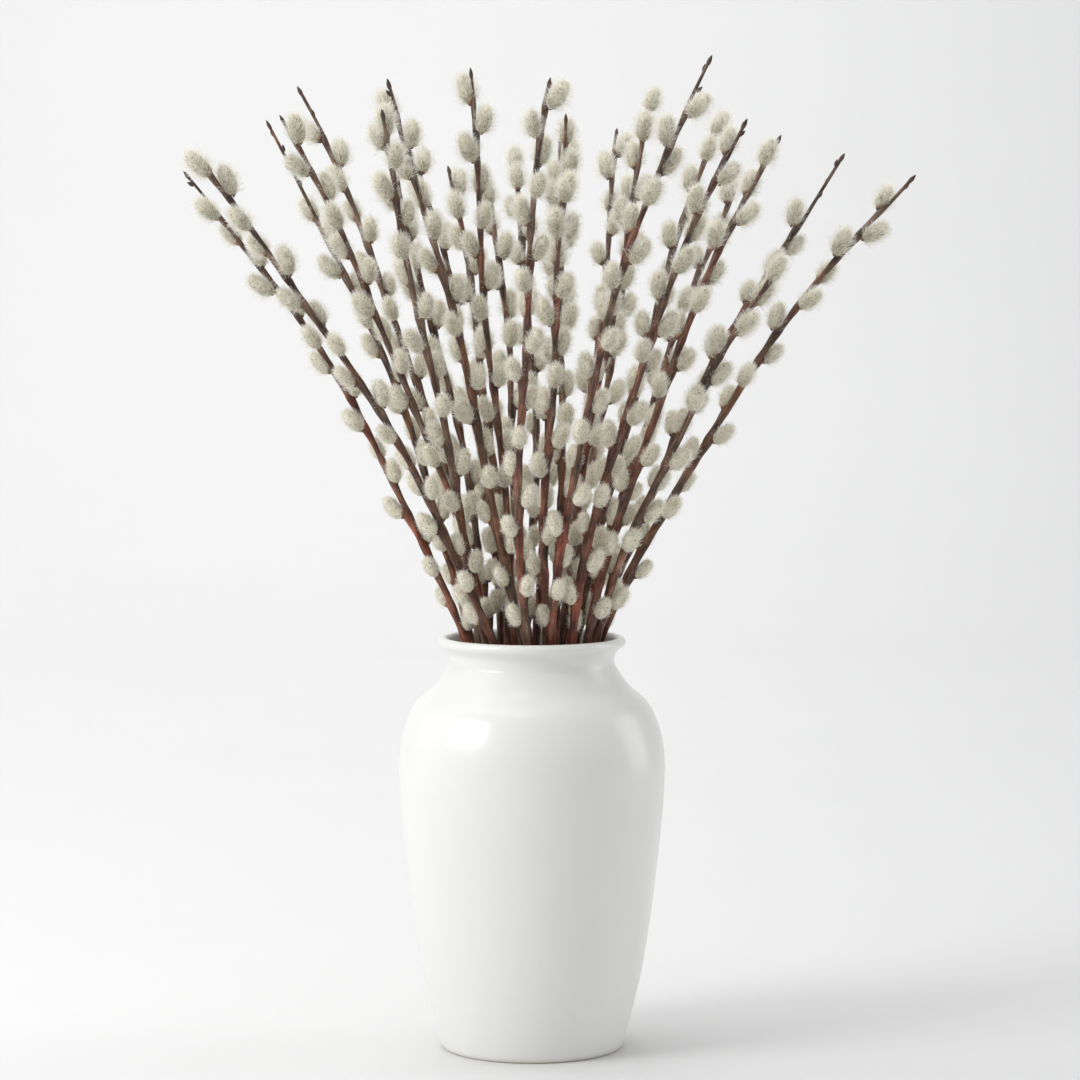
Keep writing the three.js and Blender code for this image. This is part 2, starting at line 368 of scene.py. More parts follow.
class StemLine:
    """Centre line of one stem, a gentle arch from its foot through the mouth to its tip."""

    def __init__(self, stem):
        mouth_x, mouth_y, tip_x, tip_y, tip_z, self.bare = STEMS[stem]
        self.mouth = np.array([mouth_x, mouth_y, RIM_HEIGHT], float)
        tip = np.array([tip_x, tip_y, tip_z], float)
        turned = complex(mouth_x, mouth_y) * FOOT_SPREAD * complex(math.cos(FOOT_TURN), math.sin(FOOT_TURN))
        self.thickness = THINNEST_SHARE + (1 - THINNEST_SHARE) * chance(stem, THICKNESS_PLACE)
        lean = math.atan(math.hypot(mouth_x - turned.real, mouth_y - turned.imag) / RIM_HEIGHT)
        foot_z = FLOOR_HEIGHT + SEAT_GAP + FOOT_THICKNESS * self.thickness * math.sin(lean)
        self.foot = np.array([turned.real, turned.imag, foot_z])
        self.inside = self.mouth - self.foot
        self.outside = tip - self.mouth
        inside_length = np.linalg.norm(self.inside)
        self.outside_length = np.linalg.norm(self.outside)
        self.heading = 0.5 * self.outside + self.inside * (0.5 * self.outside_length / inside_length)
        self.bend = self.heading * (inside_length / self.outside_length) - self.inside
        self.phase = FULL_TURN * chance(stem, SWAY_PLACE)

    def at(self, t):
        """Points on the line, t from foot to tip."""
        t = np.atleast_1d(np.asarray(t, float))[:, None]
        w = t / MOUTH_AT
        low = self.foot + self.inside * w + self.bend * (w ** 3 - w ** 2)
        u = (t - MOUTH_AT) / (1 - MOUTH_AT)
        high = self.mouth + self.heading * u + (self.outside - self.heading) * u ** 2
        sway = SWAY * 4 * u * (1 - u)
        sway_x = np.sin(SWAY_WAVES_X * u + self.phase)
        sway_y = np.cos(SWAY_WAVES_Y * u + self.phase)
        return np.where(t < MOUTH_AT, low, high + sway * np.hstack([sway_x, sway_y, np.zeros_like(u)]))

    def frame(self, t):
        """Directions along the line, to its side and to its back."""
        t = np.atleast_1d(np.asarray(t, float))
        along = unit(self.at(np.minimum(t + HEADING_STEP, 1)) - self.at(np.maximum(t - HEADING_STEP, 0)))
        side = unit(np.array([1.0, 0, 0]) - along * along[:, :1])
        return along, side, np.cross(side, along)

    def radius(self, t):
        taper = 1 - np.asarray(t, float) ** TAPER_POWER
        return self.thickness * (TIP_THICKNESS + (FOOT_THICKNESS - TIP_THICKNESS) * taper)

    def below(self, length):
        """The place on the line at a length below the tip."""
        return 1 - (1 - MOUTH_AT) * length / self.outside_length


class Catkin:
    """Where one catkin sits: its base on the stem, the way it points and the way out from the stem."""

    def __init__(self, line, t, turn, ending, size):
        self.along, side, back = (v[0] for v in line.frame(t))
        self.t = t
        self.size = size
        self.fluff = np.interp(t, FLUFF_AT, (0, 1))
        self.outward = side * math.cos(turn) + back * math.sin(turn)
        self.across = np.cross(self.along, self.outward)
        self.tilt = END_TILT if ending else CATKIN_TILT
        seat = 0 if ending else CATKIN_SEAT + SEAT_SHARE * line.radius(t)
        self.base = line.at(t)[0] + self.outward * seat
        axis = self.along * math.cos(self.tilt) + self.outward * math.sin(self.tilt)
        self.middles = self.base + axis * (np.array(PROBES_ALONG_CATKIN)[:, None] * (CATKIN_LENGTH * size))

    def spine(self, s):
        """Centre, direction and outer side of the body, which curls up towards the stem.

        s runs from foot to tip.
        """
        start = CURL * self.tilt
        angle = start - self.tilt * s
        up = (math.sin(start) - np.sin(angle)) / self.tilt
        out = (np.cos(angle) - math.cos(start)) / self.tilt
        length = CATKIN_LENGTH * self.size
        centre = self.base + (self.along * up[..., None] + self.outward * out[..., None]) * length
        sin, cos = np.sin(angle)[..., None], np.cos(angle)[..., None]
        return centre, self.along * cos + self.outward * sin, self.outward * cos - self.along * sin


def clearance(catkin, others, other_radii, placed):
    """Free space between a catkin and every other stem and every catkin already placed."""
    least = (catkin.middles[:, 2] - CATKIN_RADIUS - RIM_HEIGHT).min()
    for middle in catkin.middles:
        gaps = np.linalg.norm(others - middle, axis=1) - CATKIN_RADIUS - other_radii
        least = min(least, gaps.min())
        if placed:
            apart = np.linalg.norm(np.concatenate([p.middles for p in placed]) - middle, axis=1)
            least = min(least, apart.min() - 2 * CATKIN_RADIUS)
    return least


def place_catkins(lines):
    """Catkins of all stems, each turned about its stem until it stands clear."""
    stations = np.arange(PROBES_ALONG_STEM) * PROBE_STEP
    samples = [line.at(stations) for line in lines]
    radii = [line.radius(stations) for line in lines]
    placed = []
    by_stem = []
    for stem, line in enumerate(lines):
        others = np.concatenate([s for i, s in enumerate(samples) if i != stem])
        other_radii = np.concatenate([r for i, r in enumerate(radii) if i != stem])
        mine = []
        down = line.bare + TIP_ROOM * CATKIN_LENGTH if line.bare > 0 else END_SEAT
        k = 0
        while line.at(line.below(down))[0, 2] > LOWEST_CATKIN:
            vary = LEAST_SIZE + SIZE_SPAN * chance(stem, SIZE_PLACE + k)
            size = (LARGEST_CATKIN - SHRINKAGE * k) * vary
            natural = FULL_TURN * chance(stem, TURN_PLACE) + k * CATKIN_TURN
            best = None
            best_gap = LEAST_CLEARANCE
            for attempt in range(TURNS_TRIED):
                turn = natural + FULL_TURN * attempt / TURNS_TRIED
                catkin = Catkin(line, line.below(down), turn, down == END_SEAT, size)
                gap = clearance(catkin, others, other_radii, placed)
                if gap > best_gap:
                    best = catkin
                    best_gap = gap
                if best_gap >= EASY_CLEARANCE:
                    break
            if best:
                placed.append(best)
                mine.append(best)
            vary = LEAST_SPACING + SPACING_SPAN * chance(stem, SPACING_PLACE + k)
            down += (TIP_SPACING + SPACING_GROWTH * k) * vary
            k += 1
        by_stem.append(mine)
    return by_stem


class Patches:
    """Triangles of one piece, gathered from several shapes, with a map and a material each."""

    def __init__(self):
        self.points = []
        self.faces = []
        self.maps = []
        self.slots = []
        self.count = 0

    def add(self, points, faces, corners, slot):
        self.points.append(points)
        self.faces.append(faces + self.count)
        self.maps.append(corners)
        self.slots.append(np.full(len(faces), slot))
        self.count += len(points)

    def grid(self, points, u, v, slot=0, closed=True):
        """Rows of points joined into a skin; u runs round each row and v from row to row."""
        rows, columns = points.shape[:2]
        row, column = np.meshgrid(np.arange(rows - 1), np.arange(columns - (not closed)), indexing="ij")
        row, column = row.ravel(), column.ravel()
        after = (column + 1) % columns
        a, b = row * columns + column, row * columns + after
        c, d = a + columns, b + columns
        faces = np.concatenate([np.stack([a, b, d], 1), np.stack([a, d, c], 1)])
        at_a, at_b = np.stack([u[column], v[row]], 1), np.stack([u[column + 1], v[row]], 1)
        at_c, at_d = np.stack([u[column], v[row + 1]], 1), np.stack([u[column + 1], v[row + 1]], 1)
        corners = np.concatenate([np.stack([at_a, at_b, at_d], 1), np.stack([at_a, at_d, at_c], 1)])
        self.add(points.reshape(-1, 3), faces, corners.reshape(-1, 2), slot)

    def skin(self, points, u, v, slot):
        """A closed skin whose first and last rows each lie on one point."""
        columns = points.shape[1]
        start = self.count
        self.grid(points[1:-1], u, v[1:-1], slot)
        last = self.count - columns
        here = np.arange(columns)
        after = (here + 1) % columns
        left, right, middle = u[:-1], u[1:], (u[1:] + u[:-1]) / 2
        for ring, pole, ring_v, pole_v, pair, sides in (
            (start, points[0, 0], v[1], v[0], (after, here), (right, left)),
            (last, points[-1, 0], v[-2], v[-1], (here, after), (left, right)),
        ):
            tip = np.full(columns, self.count)
            faces = np.stack([ring + pair[0], ring + pair[1], tip], 1) - self.count
            low, high = np.full(columns, ring_v), np.full(columns, pole_v)
            places = [np.stack([sides[0], low], 1), np.stack([sides[1], low], 1), np.stack([middle, high], 1)]
            self.add(pole[None], faces, np.stack(places, 1).reshape(-1, 2), slot)

    def build(self, name, materials, map_name):
        points = np.concatenate(self.points) * MM
        faces = np.concatenate(self.faces)
        mesh = bpy.data.meshes.new(name)
        mesh.vertices.add(len(points))
        mesh.vertices.foreach_set("co", points.ravel())
        mesh.loops.add(faces.size)
        mesh.loops.foreach_set("vertex_index", faces.ravel().astype(np.int32))
        mesh.polygons.add(len(faces))
        mesh.polygons.foreach_set("loop_start", np.arange(0, faces.size, 3, dtype=np.int32))
        mesh.polygons.foreach_set("material_index", np.concatenate(self.slots).astype(np.int32))
        mesh.polygons.foreach_set("use_smooth", np.ones(len(faces), bool))
        layer = mesh.uv_layers.new(name=map_name)
        layer.data.foreach_set("uv", np.concatenate(self.maps).ravel().astype(np.float32))
        mesh.update(calc_edges=True)
        mesh.validate()
        for material in materials:
            mesh.materials.append(material)
        piece = bpy.data.objects.new(name, mesh)
        bpy.context.scene.collection.objects.link(piece)
        return piece


def weld(piece):
    """Joins points that share a place, so that the skins close at their ends."""
    mesh = bmesh.new()
    mesh.from_mesh(piece.data)
    bmesh.ops.remove_doubles(mesh, verts=mesh.verts, dist=WELD_DISTANCE)
    bmesh.ops.dissolve_degenerate(mesh, edges=mesh.edges, dist=SLIVER_DISTANCE)
    bmesh.ops.recalc_face_normals(mesh, faces=mesh.faces)
    mesh.to_mesh(piece.data)
    mesh.free()


def rgba(tone):
    """A colour for a socket; a single number stands for a grey."""
    return (*tone, 1) if isinstance(tone, tuple) else (tone, tone, tone, 1)


class Nodes:
    """Short calls to make and join shader nodes of one material."""

    def __init__(self, name):
        self.material = bpy.data.materials.new(name)
        self.material.use_nodes = True
        self.tree = self.material.node_tree
        self.shader = self.tree.nodes["Principled BSDF"]

    def plug(self, socket, value):
        """Joins a socket to another one, or sets its value."""
        if isinstance(value, bpy.types.NodeSocket):
            self.tree.links.new(value, socket)
        else:
            socket.default_value = value

    def make(self, kind, inputs=None, **settings):
        node = self.tree.nodes.new(kind)
        for key, value in settings.items():
            setattr(node, key, value)
        for key, value in (inputs or {}).items():
            self.plug(node.inputs[key], value)
        return node

    def set(self, **inputs):
        for key, value in inputs.items():
            self.plug(self.shader.inputs[key.replace("_", " ")], value)

    def where(self):
        return self.make("ShaderNodeTexCoord").outputs["Object"]

    def uv(self, map_name):
        return self.make("ShaderNodeUVMap", uv_map=map_name).outputs["UV"]

    def part(self, vector, axis):
        return self.make("ShaderNodeSeparateXYZ", {"Vector": vector}).outputs[axis]

    def stretch(self, place, across, along):
        inputs = {"Vector": place, "Scale": (across, along, 1)}
        return self.make("ShaderNodeMapping", inputs).outputs["Vector"]

    def noise(self, place, scale, detail, roughness=0.5):
        inputs = {"Vector": place, "Scale": scale, "Detail": detail, "Roughness": roughness}
        return self.make("ShaderNodeTexNoise", inputs).outputs["Fac"]

    def noise_along(self, place, detail):
        """Noise along a single number."""
        inputs = {"W": place, "Detail": detail}
        return self.make("ShaderNodeTexNoise", inputs, noise_dimensions="1D").outputs["Fac"]

    def cells(self, place, scale):
        """The distance to the nearest of many scattered points."""
        return self.make("ShaderNodeTexVoronoi", {"Vector": place, "Scale": scale}).outputs["Distance"]

    def remap(self, value, start, end, new_start, new_end):
        inputs = dict(enumerate((value, start, end, new_start, new_end)))
        return self.make("ShaderNodeMapRange", inputs).outputs[0]

    def ramp(self, factor, stops):
        node = self.make("ShaderNodeValToRGB", {"Fac": factor})
        elements = node.color_ramp.elements
        while len(elements) < len(stops):
            elements.new(0.5)
        for element, (position, tone) in zip(elements, stops):
            element.position = position
            element.color = rgba(tone)
        return node.outputs["Color"]

    def mix(self, share, first, second, blend="MIX"):
        node = self.make("ShaderNodeMix", data_type="RGBA", blend_type=blend)
        for socket, value in ((MIX_SHARE, share), (MIX_FIRST, first), (MIX_SECOND, second)):
            self.plug(node.inputs[socket], rgba(value) if isinstance(value, tuple) else value)
        return node.outputs[MIX_RESULT]

    def maths(self, operation, first, second):
        return self.make("ShaderNodeMath", {0: first, 1: second}, operation=operation).outputs[0]

    def let_through(self, share):
        """Lets a share of the light through the surface, in the surface's own colour."""
        colour = self.shader.inputs["Base Color"].links[0].from_socket
        through = self.make("ShaderNodeBsdfTranslucent", {"Color": colour}).outputs[0]
        both = self.make("ShaderNodeMixShader", {0: share, 1: self.shader.outputs[0], 2: through})
        self.plug(self.tree.nodes["Material Output"].inputs["Surface"], both.outputs[0])

    def bump(self, height, strength, distance):
        node = self.make("ShaderNodeBump", {"Height": height, "Strength": strength, "Distance": distance})
        self.plug(self.shader.inputs["Normal"], node.outputs["Normal"])


def glaze_material():
    """White glaze that pools a little, with bare clay under the foot."""
    nodes = Nodes("white_glaze")
    where = nodes.where()
    pooled = nodes.noise(where, scale=9.0, detail=2.0)
    pits = nodes.noise(where, scale=900.0, detail=1.0)
    bare = nodes.ramp(nodes.part(where, "Z"), [(0.0012, 1), (0.0022, 0)])
    nodes.set(Base_Color=nodes.mix(bare, nodes.ramp(pooled, GLAZE_TONES), BARE_CLAY))
    smooth = nodes.ramp(pooled, [(0.0, 0.285), (1.0, 0.35)])
    nodes.set(Roughness=nodes.mix(bare, smooth, (0.8, 0.8, 0.8)), IOR=1.5)
    nodes.set(Coat_Weight=0.35, Coat_Roughness=0.19)
    relief = nodes.maths("ADD", pooled, nodes.maths("MULTIPLY", pits, 0.05))
    nodes.bump(relief, strength=0.012, distance=0.004)
    return nodes.material


def bark_material(name, tones):
    """Streaked bark, fresh below and more weathered above, in darker and lighter patches with pale spots."""
    nodes = Nodes(name)
    place = nodes.uv("grain")
    streak_at = nodes.stretch(place, across=5.0, along=0.35)
    streak = nodes.noise(streak_at, scale=1.6, detail=6.0, roughness=0.65)
    young = nodes.ramp(streak, list(zip(BARK_STOPS, tones)))
    grey = nodes.ramp(streak, list(zip(BARK_STOPS, GREY_BARK)))
    tone = nodes.noise(nodes.stretch(place, across=0.8, along=0.12), scale=1.0, detail=3.0)
    upper = nodes.ramp(nodes.part(nodes.where(), "Z"), [(0.3, 0), (0.62, 0.19)])
    weathered = nodes.ramp(nodes.maths("ADD", tone, upper), [(0.44, 0), (0.7, 1)])
    patch = nodes.noise(nodes.stretch(place, across=1.2, along=0.55), scale=1.0, detail=2.0)
    shade = nodes.ramp(patch, BARK_SHADE)
    plain = nodes.mix(1.0, nodes.mix(weathered, young, grey), shade, "MULTIPLY")
    dots = nodes.cells(nodes.stretch(place, across=7.0, along=2.2), scale=1.0)
    spots = nodes.ramp(dots, [(0.10, 1), (0.17, 0)])
    nodes.set(Base_Color=nodes.mix(nodes.maths("MULTIPLY", spots, 0.6), plain, BARK_SPOT))
    nodes.set(Roughness=nodes.ramp(streak, [(0.3, 0.36), (0.8, 0.6)]), Specular_IOR_Level=0.32)
    nodes.set(Coat_Weight=0.1, Coat_Roughness=0.3)
    nodes.bump(nodes.maths("ADD", streak, spots), strength=0.5, distance=0.0004)
    return nodes.material


def scale_material(name, tones):
    """Veined skin of a bud or bud scale, with tones from its foot to its point."""
    nodes = Nodes(name)
    place = nodes.uv("grain")
    veins = nodes.noise(nodes.stretch(place, across=9.0, along=1.2), scale=1.5, detail=4.0)
    along = nodes.make("ShaderNodeMath", {0: nodes.part(place, "Y")}, operation="FRACT").outputs[0]
    shade = nodes.ramp(veins, VEIN_SHADE)
    nodes.set(Base_Color=nodes.mix(1.0, nodes.ramp(along, tones), shade, "MULTIPLY"))
    nodes.set(Roughness=nodes.ramp(veins, [(0.3, 0.4), (0.7, 0.6)]))
    nodes.bump(veins, strength=0.4, distance=0.0003)
    return nodes.material


def core_material():
    """Body of a catkin under its hairs: pale low on the stems, partly painted light for the low catkins that
    the bunch shades, greener higher up and towards its own foot.
    """
    nodes = Nodes("catkin_core")
    where = nodes.where()
    cells = nodes.cells(where, scale=620.0)
    mottle = nodes.noise(where, scale=160.0, detail=3.0)
    # Painted light: catkins low in the bunch get the paler core, which brightens them where the bunch shades
    # them
    upper = nodes.ramp(nodes.part(where, "Z"), [(0.36, 0), (0.56, 1)])
    foot = nodes.ramp(nodes.part(nodes.uv("OFBake"), "Y"), [(0.3, 1), (0.9, 0.3)])
    pale, green = nodes.ramp(mottle, PALE_CORE_WITH_PAINTED_LIGHT), nodes.ramp(mottle, GREEN_CORE)
    body = nodes.mix(nodes.maths("MULTIPLY", upper, foot), pale, green)
    nodes.set(Base_Color=nodes.mix(1.0, body, nodes.ramp(cells, CORE_CREASE), "MULTIPLY"))
    nodes.set(Roughness=nodes.ramp(mottle, [(0.3, 0.75), (0.7, 0.95)]))
    nodes.bump(cells, strength=0.6, distance=0.0006)
    return nodes.material


def fur_material():
    """White hairs, a little darker at the root, that let light through."""
    nodes = Nodes("catkin_fur")
    place = nodes.uv("OFBake")
    strand_at = nodes.maths("MULTIPLY", nodes.part(place, "X"), STRAND_RATE)
    strand = nodes.noise_along(strand_at, detail=1.0)
    length = nodes.ramp(nodes.part(place, "Y"), FUR_TONES)
    nodes.set(Base_Color=nodes.mix(1.0, length, nodes.ramp(strand, STRAND_SHADE), "MULTIPLY"))
    nodes.set(Roughness=nodes.ramp(strand, [(0.3, 0.55), (0.7, 0.8)]), Specular_IOR_Level=0.3)
    nodes.let_through(share=0.6)
    return nodes.material


def paper_material():
    """White paper with painted shade, a little darker towards the right as seen from the front."""
    nodes = Nodes("paper_sweep")
    where = nodes.where()
    fibre = nodes.noise(where, scale=3.0, detail=2.0)
    near, far = PAINTED_SHADE_FROM - PAINTED_SHADE_CENTRE, PAINTED_SHADE_TO - PAINTED_SHADE_CENTRE
    away = nodes.remap(nodes.part(where, "Y"), PAINTED_SHADE_FROM, PAINTED_SHADE_TO, near, far)
    bearing = nodes.maths("DIVIDE", nodes.part(where, "X"), away)
    painted_shade_share = nodes.remap(bearing, -PAINTED_SHADE_BREADTH, PAINTED_SHADE_BREADTH, 0.0, 1.0)
    # Painted shade: the paper's colour darkens towards the right as seen from the front
    white, dimmer = nodes.ramp(fibre, PAPER_TONES), nodes.ramp(painted_shade_share, PAPER_PAINTED_SHADE)
    nodes.set(Base_Color=nodes.mix(1.0, white, dimmer, "MULTIPLY"), Roughness=0.9)
    return nodes.material


def vase_outline():
    """Radius and height of the vase, from the middle of its underside over the lip to that of its floor."""
    wall = spline(WALL_OUTLINE, WALL_STEPS)
    angles = np.linspace(*LIP_HALF_TURNS, LIP_POINTS) * math.pi
    lip_x = LIP_REACH + LIP_ROLL * np.cos(angles)
    lip = np.stack([lip_x, RIM_HEIGHT - LIP_ROLL + LIP_ROLL * np.sin(angles)], 1)
    neck = spline([WALL_OUTLINE[-1], *NECK_OUTLINE, tuple(lip[0])], NECK_STEPS)[1:-1]
    along = unit(np.gradient(wall, axis=0))
    inner = wall + np.stack([-along[:, 1], along[:, 0]], 1) * WALL
    inner = inner[inner[:, 1] > FLOOR_HEIGHT + 2 * WALL][::-1]
    edge = inner[-1, 0]
    corner = (edge - FLOOR_CORNER_IN, FLOOR_HEIGHT + FLOOR_CORNER_UP)
    floor_edge = spline([inner[-1], corner, (edge - WALL, FLOOR_HEIGHT)], FLOOR_STEPS)[1:]
    return np.vstack([FOOT_OUTLINE, wall, neck, lip, inner, floor_edge, [[0, FLOOR_HEIGHT]]])


def make_vase():
    """The vase, its outline turned about the axis."""
    outline = vase_outline()
    turn = circle(VASE_SEGMENTS)
    height = np.repeat(outline[:, 1:], VASE_SEGMENTS, 1)
    rings = np.stack([outline[:, :1] * np.cos(turn), outline[:, :1] * np.sin(turn), height], 2)
    patches = Patches()
    patches.grid(rings, np.linspace(0, 1, VASE_SEGMENTS + 1), np.linspace(0, 1, len(outline)))
    vase = patches.build("vase_glazed", [glaze_material()], "grain")
    weld(vase)
    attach(vase, "root")
    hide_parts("vase")


def bark_swelling(t, stem, line, catkins, spread):
    """Reach of the bark in shares of the stem's radius: a faint ripple and a bulge below each catkin."""
    radius = line.radius(t)[:, None]
    swell = BARK_SHARE + RIPPLE * np.sin(t * RIPPLE_RATE + stem)[:, None] * np.ones(BARK_SIDES)
    for catkin in catkins:
        off = (t - catkin.t) * line.outside_length / (1 - MOUTH_AT) - NODE_FALL / 2
        near = np.exp(-(off / np.where(off < 0, NODE_RISE, NODE_FALL)) ** 2)[:, None]
        facing = np.clip(spread @ catkin.outward, 0, 1) ** NODE_FACING
        swell += near * (NODE_GIRTH + NODE_SIZE / radius * facing)
    return swell


def bark(patches, stem, line, catkins):
    """Closed tube of bark that bends away from each catkin."""
    top = line.below(TIP_BUD / 2 if line.bare else 0)
    t = np.concatenate([np.linspace(0, MOUTH_AT, BARK_RINGS_IN_VASE, endpoint=False),
                        np.linspace(MOUTH_AT, top, BARK_RINGS_ABOVE)])
    side, back = line.frame(t)[1:]
    order = sorted(catkins, key=lambda catkin: catkin.t)
    stops = np.array([0, *[c.t for c in order], 1])
    bends = [-(NODE_BEND + NODE_BEND_GROWTH * c.t) * c.outward for c in order]
    lean = np.vstack([np.zeros(3), *bends, np.zeros(3)])
    centre = line.at(t) + np.stack([np.interp(t, stops, lean[:, i]) for i in range(3)], 1)
    turn = circle(BARK_SIDES)[:, None]
    spread = side[:, None] * np.cos(turn) + back[:, None] * np.sin(turn)
    swell = bark_swelling(t, stem, line, order, spread)
    points = centre[:, None] + spread * (line.radius(t)[:, None] * swell)[..., None]
    length = np.concatenate([[0], np.cumsum(np.linalg.norm(np.diff(centre, axis=0), axis=1))])
    u = np.linspace(0, 1, BARK_SIDES + 1)
    v = length / GRAIN_LENGTH + stem * GRAIN_SHIFT_ALONG
    patches.grid(points, u + stem * GRAIN_SHIFT_ROUND, v, BARK_SLOT)
    for ring, tip in ((points[0][::-1], centre[0]), (points[-1], centre[-1])):
        cap = np.stack([ring, np.repeat(tip[None], BARK_SIDES, 0)])
        patches.grid(cap, u, np.array([0.0, CAP_GRAIN]), BARK_SLOT)


def bud(patches, base, axis, hint, length, width, shift):
    """A narrow pointed bud."""
    first, second = around(axis, hint)
    s = np.linspace(0, 1, BUD_RINGS)
    wide = width * np.interp(s, *BUD_OUTLINE)
    turn = circle(BUD_SIDES)[:, None]
    ring = first * np.cos(turn) + second * np.sin(turn)
    points = base + axis * (s * length)[:, None, None] + ring * wide[:, None, None]
    u = np.linspace(0, 1, BUD_SIDES + 1) + shift
    patches.grid(points, u, between(s, BUD_GRAIN), BUD_SLOT)
    foot = np.stack([np.repeat(base[None], BUD_SIDES, 0), points[0]])
    patches.grid(foot, u, np.array([0.0, BUD_GRAIN[0]]), BUD_SLOT)


def bud_scale(patches, catkin, turn, reach, shift):
    """A hollow pointed scale that cups the foot of a catkin."""
    s = np.linspace(0, 1, SCALE_RINGS)
    across = np.linspace(-1, 1, SCALE_COLUMNS)
    centre, _, outer = catkin.spine(s * reach / CATKIN_LENGTH - SCALE_FOOT)
    half = SCALE_HALF_TURN * np.sqrt(np.clip(1 - s ** SCALE_POINT, 0, 1))
    angle = (turn + across * half[:, None])[..., None]
    core = CATKIN_RADIUS * catkin.size * np.interp(s, *SCALE_OUTLINE)
    ring = outer[:, None] * np.cos(angle) + catkin.across * np.sin(angle)
    outside, inside = (centre[:, None] + ring * (core + lift * (1 + SCALE_FLARE * s ** 3))[:, None, None]
                       for lift in SCALE_SKINS)
    loop = np.concatenate([outside, inside[:, ::-1]], 1)
    loop_u = np.linspace(0, 1, 2 * SCALE_COLUMNS + 1) + shift
    patches.grid(loop, loop_u, between(s, BUD_GRAIN), SCALE_SLOT)
    foot = np.stack([inside[0], outside[0]])
    foot_u = np.linspace(0, 1, SCALE_COLUMNS) + shift
    patches.grid(foot, foot_u, np.array([0.0, BUD_GRAIN[0]]), SCALE_SLOT, closed=False)


def buds(patches, stem, line, catkins):
    """Scales under the catkins, and the bud at the bare tip with the side buds below it."""
    for k, catkin in enumerate(catkins):
        turn = (chance(stem, SCALE_TURN_PLACE + k) - 0.5) * SCALE_TURN_SPAN
        for away, least, span, place, shift in SCALE_ROWS:
            bud_scale(patches, catkin, turn + away, least + span * chance(stem, place + k), k + shift)
    if line.bare == 0:
        return
    along, side, _ = (v[0] for v in line.frame(1.0))
    base = line.at(1.0)[0] - along * TIP_BUD
    width = TIP_BUD_GIRTH * line.radius(1.0)
    bud(patches, base, along, side, TIP_BUD + TIP_BUD_OVERHANG, width, TIP_BUD_SHIFT)
    turn = FULL_TURN * chance(stem, BUD_TURN_PLACE)
    down = SIDE_BUD_START
    while down < line.bare + SIDE_BUD_REACH:
        t = line.below(down)
        along, side, back = (v[0] for v in line.frame(t))
        out = side * math.cos(turn) + back * math.sin(turn)
        base = line.at(t)[0] + out * line.radius(t) * SIDE_BUD_SEAT
        bud(patches, base, unit(along + SIDE_BUD_LEAN * out), out, SIDE_BUD, SIDE_BUD_WIDTH, down)
        down += SIDE_BUD_SPACING
        turn += CATKIN_TURN


def core_points(s, turn, catkin):
    """Points on the plump body of a catkin with the ways out and along there, s from its foot."""
    widest = between(catkin.fluff, CORE_SHARE) * CATKIN_RADIUS * catkin.size
    off_middle = np.abs(2 * s ** CORE_BIAS - 1)
    wide = widest * np.clip(1 - off_middle ** CORE_SHOULDER, 0, 1) ** CORE_BLUNTNESS
    centre, axis, outer = catkin.spine(s)
    ring = outer * np.cos(turn)[..., None] + catkin.across * np.sin(turn)[..., None]
    return centre + ring * wide[..., None], ring, axis


def catkin_core(patches, catkin, cell, cells):
    """The body of a catkin under its hairs."""
    s = (1 - np.cos(np.linspace(0, np.pi, CORE_RINGS + 1))) / 2
    points = core_points(*np.meshgrid(s, circle(CORE_SIDES), indexing="ij"), catkin)[0]
    left, right = (FUR_UV_SHARE + (1 - FUR_UV_SHARE) * (cell + edge) / cells for edge in CORE_CELL)
    u, v = np.linspace(left, right, CORE_SIDES + 1), between(s, (ROOT_TONE, LONG_TIP_TONE))
    patches.skin(points, u, v, CORE_SLOT)


